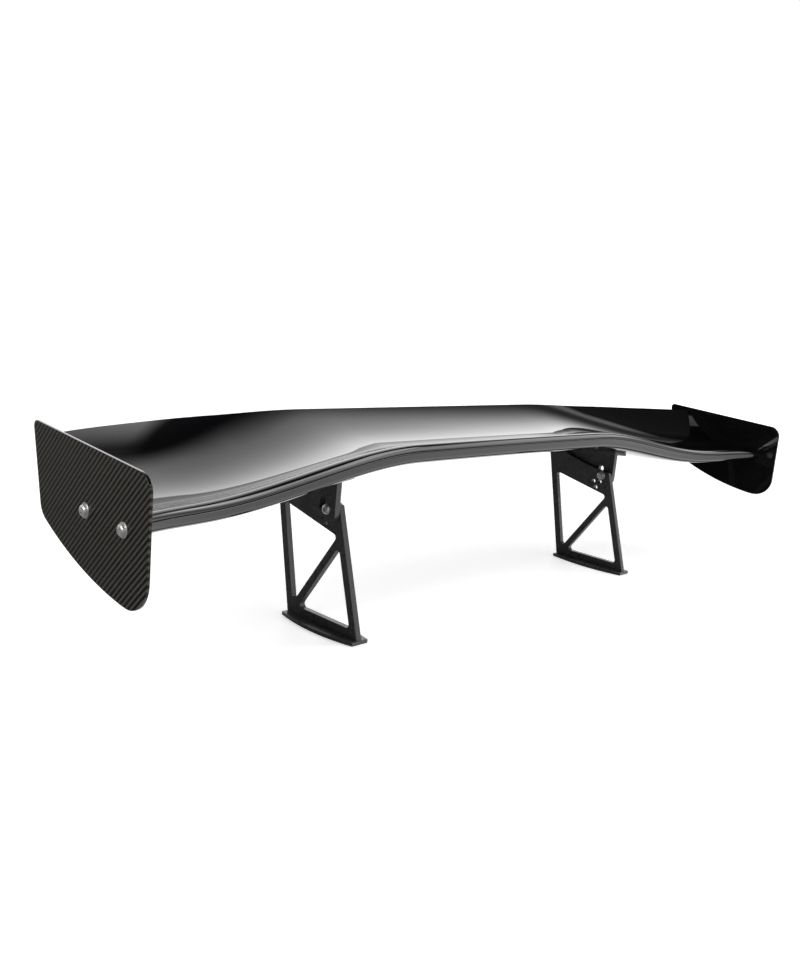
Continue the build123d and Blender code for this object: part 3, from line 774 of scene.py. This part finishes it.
def gloss_black():
    """Black lacquer: faint orange peel, fine polishing marks and a little dust."""
    m = Nodes("gloss_black_lacquer")
    peel = m.noise(190.0, 2.0, 0.45)
    smear = m.noise(9.0, 4.0, 0.6, m.stretched((0.35, 1.0, 1.0)))
    marks = m.noise(900.0, 1.0, 0.5, m.stretched((0.04, 1.0, 1.0), (0.0, 0.0, 0.35)))
    dust = m.ramp(m.noise(2400.0, 1.0, 0.5), 0.72, 0.80, 0.0, 1.0)
    tint = m.mix(dust, (0.0032, 0.0032, 0.0038, 1.0), (0.03, 0.03, 0.028, 1.0))
    rough = m.ramp(smear, 0.3, 0.75, 0.040, 0.055)
    rough = m.math("ADD", rough, m.ramp(marks, 0.62, 0.75, 0.0, 0.006))
    m.set(Base_Color=tint, Roughness=rough, IOR=1.5, Specular_IOR_Level=0.5,
          Coat_Weight=0.25, Coat_Roughness=0.03, Coat_IOR=1.5)
    m.set(Normal=m.bump(peel, 0.000006, 0.4))
    return m.material


def twill(name, tow, lacquer):
    """2 x 2 twill: tows of two directions pass over two and under two, then lacquer."""
    m = Nodes(name)
    split = m.new("ShaderNodeSeparateXYZ")
    m.put(m.place, split.inputs[0])
    wander = m.math("MULTIPLY", m.noise(18.0, 1.0), 0.0009)
    u = m.math("DIVIDE", m.math("ADD", split.outputs[1], wander), tow)
    v = m.math("DIVIDE", m.math("ADD", split.outputs[2], wander), tow)
    i, j = m.math("FLOOR", u), m.math("FLOOR", v)
    step = m.math("FLOORED_MODULO", m.math("ADD", i, j), 4.0)
    over = m.math("LESS_THAN", step, 1.5)
    fu = m.math("SUBTRACT", m.math("FRACT", u), 0.5)
    fv = m.math("SUBTRACT", m.math("FRACT", v), 0.5)
    # along each tow, how far through its pass over two others, and across its width
    run_v = m.math("FLOORED_MODULO", m.math("ADD", v, i), 4.0)
    run_u = m.math("FLOORED_MODULO", m.math("SUBTRACT", m.math("ADD", u, j), 2.0), 4.0)
    arch_v = m.math("SINE", m.math("MULTIPLY", run_v, math.pi / 2.0))
    arch_u = m.math("SINE", m.math("MULTIPLY", run_u, math.pi / 2.0))
    crown_u = m.math("SUBTRACT", 1.0, m.math("MULTIPLY", m.math("MULTIPLY", fu, fu), 3.2))
    crown_v = m.math("SUBTRACT", 1.0, m.math("MULTIPLY", m.math("MULTIPLY", fv, fv), 3.2))
    fine_u = m.noise(1.0, 2.0, 0.6, m.stretched((1.0, 9000.0, 300.0)))
    fine_v = m.noise(1.0, 2.0, 0.6, m.stretched((1.0, 300.0, 9000.0)))
    warp = m.math("MULTIPLY", m.math("ADD", arch_v, 0.6), crown_u)
    weft = m.math("MULTIPLY", m.math("ADD", arch_u, 0.6), crown_v)
    warp = m.math("ADD", warp, m.math("MULTIPLY", fine_u, 0.25))
    weft = m.math("ADD", weft, m.math("MULTIPLY", fine_v, 0.25))
    pick = m.new("ShaderNodeMix", data_type="FLOAT")
    m.put(over, pick.inputs[0])
    m.put(weft, pick.inputs[2])
    m.put(warp, pick.inputs[3])
    height = pick.outputs[0]
    # painted shade: the colour is darkened where the tows dip under each other and along each tow's
    # edges
    edge = m.ramp(height, 0.0, 1.1, 0.35, 1.0)
    # painted sheen: tows that lie over are painted far lighter than tows that lie under, in place
    # of the weave's changing sheen
    tow_sheen = m.mix(over, (0.0016, 0.0015, 0.0014, 1.0), (0.052, 0.048, 0.043, 1.0))
    shade = m.new("ShaderNodeMix", data_type="RGBA", blend_type="MULTIPLY")
    shade.inputs[0].default_value = 1.0
    m.put(tow_sheen, shade.inputs[6])
    grey = m.new("ShaderNodeCombineColor")
    for socket in grey.inputs:
        m.put(edge, socket)
    m.put(grey.outputs[0], shade.inputs[7])
    rough = m.ramp(m.noise(9.0, 3.0), 0.3, 0.7, lacquer, lacquer + 0.08)
    m.set(Base_Color=shade.outputs[2], Metallic=0.0, Roughness=0.45,
          Specular_IOR_Level=0.12, Coat_Weight=0.35, Coat_Roughness=rough, Coat_IOR=1.35)
    m.set(Normal=m.bump(height, 0.00016, 0.8))
    m.set(Coat_Normal=m.bump(m.noise(220.0, 1.0), 0.00001, 0.5))
    return m.material


def black_coat():
    """Fine-textured black coating on aluminium, with a painted highlight along its edges."""
    m = Nodes("textured_black_coat")
    grain = m.noise(1900.0, 3.0, 0.65)
    patch = m.noise(34.0, 3.0, 0.6)
    bevel = m.new("ShaderNodeBevel")
    bevel.inputs["Radius"].default_value = 0.0012
    face = m.new("ShaderNodeNewGeometry").outputs["Normal"]
    dot = m.new("ShaderNodeVectorMath", operation="DOT_PRODUCT")
    m.put(bevel.outputs[0], dot.inputs[0])
    m.put(face, dot.inputs[1])
    # painted highlight: the colour is lightened along rounded edges, where the bevelled normal
    # leaves the face's, in noisy patches
    edge_highlight = m.ramp(dot.outputs["Value"], 0.985, 0.86, 0.0, 1.0)
    edge_highlight = m.math("MULTIPLY", edge_highlight, m.ramp(m.noise(160.0, 4.0, 0.7), 0.42, 0.66, 0.0, 1.0))
    base = m.mix(m.ramp(patch, 0.3, 0.7, 0.0, 1.0), (0.024, 0.024, 0.0245, 1.0),
                 (0.031, 0.031, 0.0315, 1.0))
    colour = m.mix(m.math("MULTIPLY", edge_highlight, 0.35), base, (0.16, 0.16, 0.165, 1.0))
    rough = m.ramp(m.noise(60.0, 3.0), 0.3, 0.7, 0.24, 0.36)
    m.set(Base_Color=colour, Roughness=rough, IOR=1.5, Specular_IOR_Level=0.5)
    m.set(Normal=m.bump(grain, 0.00005, 0.55))
    return m.material


def stainless(name, tone, rings):
    """Turned stainless steel: fine rings, small scratches and faint smudges."""
    m = Nodes(name)
    swirl = m.noise(rings, 2.0, 0.6, m.stretched((4.0, 1.0, 1.0)))
    scratch = m.noise(1400.0, 2.0, 0.6, m.stretched((1.0, 0.08, 1.0), (0.6, 0.0, 0.0)))
    smudge = m.noise(90.0, 3.0)
    low = tuple(t * 0.82 for t in tone) + (1.0,)
    colour = m.mix(m.ramp(smudge, 0.3, 0.7, 0.0, 1.0), low, tone + (1.0,))
    rough = m.math("ADD", m.ramp(swirl, 0.3, 0.7, 0.30, 0.42),
                   m.ramp(scratch, 0.6, 0.75, 0.0, 0.12))
    m.set(Base_Color=colour, Metallic=0.82, Roughness=rough)
    m.set(Normal=m.bump(swirl, 0.00003, 0.35))
    return m.material


def core():
    """Dense moulded core: fine cells and a mottled tan colour."""
    m = Nodes("moulded_core")
    cells = m.new("ShaderNodeTexVoronoi")
    m.put(m.place, cells.inputs["Vector"])
    cells.inputs["Scale"].default_value = 900.0
    colour = m.mix(m.noise(50.0, 3.0), (0.42, 0.33, 0.20, 1.0), (0.60, 0.49, 0.33, 1.0))
    m.set(Base_Color=colour, Roughness=m.ramp(m.noise(200.0), 0.3, 0.7, 0.6, 0.85))
    m.set(Normal=m.bump(cells.outputs["Distance"], 0.0003, 0.6))
    return m.material


LACQUER = gloss_black()
TWILL = twill("clear_coated_twill", 0.0021, 0.05)
LAMINATE = twill("bare_laminate", 0.0021, 0.30)
BLACK = black_coat()
STEEL = stainless("turned_stainless", (0.80, 0.79, 0.77), 500.0)
BUSH = stainless("plated_bush", (0.50, 0.47, 0.38), 700.0)
CORE = core()


def dress(obj, material):
    """Gives a piece one material."""
    obj.data.materials.clear()
    obj.data.materials.append(material)


def stand_for(obj, node, body, material):
    """Puts a piece in the place of a CAD node, on its body, with its material."""
    dress(obj, material)
    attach(obj, body)
    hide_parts(node)


stand_for(upper_skin, "upper_skin", "wing", LACQUER)
stand_for(lower_skin, "lower_skin", "wing", LACQUER)
stand_for(endplate_left, "left_endplate", "wing", TWILL)
stand_for(endplate_right, "right_endplate", "wing", TWILL)
for obj, side in ((endplate_left, -1), (endplate_right, 1)):
    obj.data.materials.append(LACQUER)      # the face towards the wing and the top edge
    for face in obj.data.polygons:
        glossy = face.normal.x * side < -0.5 or face.normal.z > 0.5
        face.material_index = 1 if glossy else 0
for label in ("left", "right"):
    for part, body in (("upright", "stand"), ("base", "stand"), ("bracket", "wing")):
        node = f"{label}_{part}"
        stand_for(supports[node], node, body, BLACK)
    stand_for(supports[label + "_flange"], label + "_bracket", "wing", BLACK)
for node, obj in fasteners.items():
    body = "wing" if node.startswith("endplate") else "stand"
    stand_for(obj, node, body, STEEL)

carried = {"front_spar": LAMINATE, "rear_spar": LAMINATE, "ribs": CORE, "foot_blocks": CORE,
           "left_tip_block": CORE, "right_tip_block": CORE, "foot_inserts": BUSH,
           "tip_inserts": BUSH, "bracket_screws": STEEL, "base_screws": STEEL}
for node, material in carried.items():
    dress(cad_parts[node], material)

# ---- floor, light and camera -----------------------------------------------------
FLOOR = 12.0
WALL_HEIGHT = 14.0
WHITE = (1.0, 1.0, 1.0, 1.0)
FLOOR_GLOW = (0.52, 1.0)         # near the wing, and far from it
GLOW_NEAR, GLOW_FAR = 1.8, 4.5


def floor_material():
    """Pale grey, glowing more with the distance so that the far floor meets a pale wall."""
    m = Nodes("pale_floor")
    tone = m.mix(m.noise(3.0, 2.0), (0.80, 0.80, 0.80, 1.0), (0.84, 0.84, 0.84, 1.0))
    away = m.new("ShaderNodeVectorMath", operation="LENGTH")
    m.put(m.place, away.inputs[0])
    glow = m.ramp(away.outputs["Value"], GLOW_NEAR, GLOW_FAR, *FLOOR_GLOW)
    m.set(Base_Color=tone, Roughness=0.5, Specular_IOR_Level=0.15,
          Emission_Color=WHITE, Emission_Strength=glow)
    return m.material


def pale_floor():
    """A plain pale floor. Gloss shows the studio's sweep instead of it."""
    mesh = bpy.data.meshes.new("studio_floor")
    corners = [(-FLOOR, -FLOOR, 0), (FLOOR, -FLOOR, 0), (FLOOR, FLOOR, 0), (-FLOOR, FLOOR, 0)]
    mesh.from_pydata(corners, [], [(0, 1, 2, 3)])
    floor = bpy.data.objects.new("studio_floor", mesh)
    bpy.context.scene.collection.objects.link(floor)
    floor.visible_glossy = False
    dress(floor, floor_material())


def backdrop():
    """A pale wall round the floor, seen only directly: it adds no light or reflection."""
    ring = circle((0.0, 0.0), FLOOR - 0.2, 96)
    points = [(p.x, p.y, height) for height in (0.0, WALL_HEIGHT) for p in ring]
    wall = new_object("studio_wall", points, ring_faces(2, len(ring), True))
    m = Nodes("pale_wall")
    tone = m.mix(m.noise(0.4, 2.0), (0.97, 0.97, 0.97, 1.0), WHITE)
    m.set(Base_Color=(0.0, 0.0, 0.0, 1.0), Specular_IOR_Level=0.0,
          Emission_Color=tone, Emission_Strength=1.05)
    dress(wall, m.material)
    wall.visible_glossy = wall.visible_diffuse = wall.visible_shadow = False


pale_floor()
backdrop()

WING_MIDDLE = Vector((0.0, 0.0, 0.27))


def area_light(name, at, aim, width, height, power):
    """A soft box at one place, aimed at another: its size in metres, its power in watts."""
    data = bpy.data.lights.new(name, "AREA")
    data.shape = "RECTANGLE"
    data.size, data.size_y, data.energy = width, height, power
    obj = bpy.data.objects.new(name, data)
    obj.location = at
    obj.rotation_euler = (Vector(aim) - Vector(at)).to_track_quat("-Z", "Y").to_euler()
    bpy.context.scene.collection.objects.link(obj)
    return obj


def from_wing(azimuth, elevation, distance):
    """A place seen from the wing's middle: azimuth from +Y towards +X, in degrees."""
    a, e = math.radians(azimuth), math.radians(elevation)
    way = Vector((math.sin(a) * math.cos(e), math.cos(a) * math.cos(e), math.sin(e)))
    return WING_MIDDLE + way * distance


softbox = area_light("side_softbox", from_wing(104.0, 41.0, 5.0), WING_MIDDLE, 2.0, 1.1, 60.0)
softbox.visible_glossy = False   # the lacquer mirrors the sweep, not this box
area_light("left_softbox", from_wing(266.0, 26.0, 3.0), WING_MIDDLE, 1.8, 1.4, 42.0)
area_light("top_softbox", (0.35, -0.40, 1.10), (-0.40, -0.08, 0.28), 0.55, 0.35, 2.4)

world = bpy.data.worlds.new("studio")
bpy.context.scene.world = world
world.use_nodes = True
tree = world.node_tree
background = tree.nodes["Background"]
STUDIO_STRENGTH = 1.7


def world_node(kind, *sources, **settings):
    """A node of the world, with its first inputs linked or set."""
    node = tree.nodes.new(kind)
    for key, value in settings.items():
        setattr(node, key, value)
    for source, target in zip(sources, node.inputs):
        if isinstance(source, (int, float, tuple)):
            target.default_value = source
        else:
            tree.links.new(source, target)
    return node


where = tree.nodes.new("ShaderNodeTexCoord")
split = world_node("ShaderNodeSeparateXYZ", where.outputs["Generated"])
east, north, height_sine = split.outputs
level = world_node("ShaderNodeCombineXYZ", east, north)
flat = world_node("ShaderNodeVectorMath", level.outputs[0], operation="NORMALIZE")


def brightness_by_height(stops):
    """Grey levels by the sine of the elevation, in units of the background's strength."""
    shift = world_node("ShaderNodeMath", height_sine, 0.5, 0.5, operation="MULTIPLY_ADD")
    node = world_node("ShaderNodeValToRGB", shift.outputs[0])
    elements = node.color_ramp.elements
    for index, (sine, tone) in enumerate(stops):
        place = sine / 2 + 0.5
        element = elements[index] if index < 2 else elements.new(place)
        element.position = place
        element.color = (tone, tone, tone, 1.0)
    node.color_ramp.interpolation = "LINEAR"
    return node.outputs[0]


def facing(azimuth):
    """Cosine of the angle in plan from an azimuth, given in degrees from +Y towards +X."""
    a = math.radians(azimuth)
    way = (math.sin(a), math.cos(a), 0.0)
    node = world_node("ShaderNodeVectorMath", flat.outputs[0], way, operation="DOT_PRODUCT")
    return node.outputs["Value"]


def mapped(value, low, high, a=0.0, b=1.0, kind="SMOOTHSTEP"):
    """Takes a value's range from low to high to the range from a to b."""
    node = world_node("ShaderNodeMapRange", value, low, high, a, b, interpolation_type=kind)
    return node.outputs[0]


def scaled(colour, factor):
    """A colour times a number."""
    node = world_node("ShaderNodeVectorMath", colour, operation="SCALE")
    tree.links.new(factor, node.inputs["Scale"])
    return node.outputs[0]


# a bright low sweep behind, and dark above it
rear = brightness_by_height((
    (-1.0, 0.60), (0.0, 0.75), (0.10, 0.86), (0.13, 1.0), (0.36, 0.97), (0.50, 0.80),
    (0.62, 0.65), (0.70, 0.54), (0.745, 0.28), (0.80, 0.10), (1.0, 0.06)))
# the front of the studio is lit to the camera's right only
fore = brightness_by_height((
    (-1.0, 0.40), (0.0, 0.56), (0.18, 0.60), (0.26, 0.24), (0.36, 0.26), (0.44, 0.95),
    (0.60, 0.95), (0.65, 0.02), (1.0, 0.02)))
REAR_MIDDLE, FRONT_MIDDLE, LIT_MIDDLE = 22.0, 140.0, 88.0     # azimuths in degrees
blend = tree.nodes.new("ShaderNodeMix")
blend.data_type = "RGBA"
tree.links.new(mapped(facing(REAR_MIDDLE), 0.60, 0.82), blend.inputs[0])
tree.links.new(scaled(fore, mapped(facing(FRONT_MIDDLE), 0.46, 0.72, 0.06, 1.5)), blend.inputs[6])
tree.links.new(rear, blend.inputs[7])

# below the horizon the sweep is lit from the right and front, and dim to the left
dim = mapped(facing(LIT_MIDDLE), -0.25, 0.35, 0.10, 1.0)
above = mapped(height_sine, -0.06, 0.0, kind="LINEAR")
keep = world_node("ShaderNodeMath", dim, above, operation="MAXIMUM")
tree.links.new(scaled(blend.outputs[2], keep.outputs[0]), background.inputs[0])
background.inputs["Strength"].default_value = STUDIO_STRENGTH
bpy.context.scene.view_settings.view_transform = "Standard"

# the camera, solved from the photo
YAW, PITCH, ROLL = math.radians(46.58), math.radians(11.22), math.radians(5.36)
CAMERA_AT = Vector((-1.2852, -1.0061 + SHIFT, 0.4948))
SENSOR_WIDTH, LENS = 36.0, 34.84
forward = Vector((math.sin(YAW) * math.cos(PITCH), math.cos(YAW) * math.cos(PITCH),
                  -math.sin(PITCH)))
right = Vector((math.cos(YAW), -math.sin(YAW), 0.0))
up = right.cross(forward)
tilted_right = math.cos(ROLL) * right + math.sin(ROLL) * up
tilted_up = -math.sin(ROLL) * right + math.cos(ROLL) * up
camera_data = bpy.data.cameras.new("camera")
camera_data.sensor_width = SENSOR_WIDTH
camera_data.lens = LENS
camera = bpy.data.objects.new("camera", camera_data)
turn = Matrix((tilted_right, tilted_up, -forward)).transposed()
camera.matrix_world = Matrix.Translation(CAMERA_AT) @ turn.to_4x4()
bpy.context.scene.collection.objects.link(camera)
bpy.context.scene.camera = camera
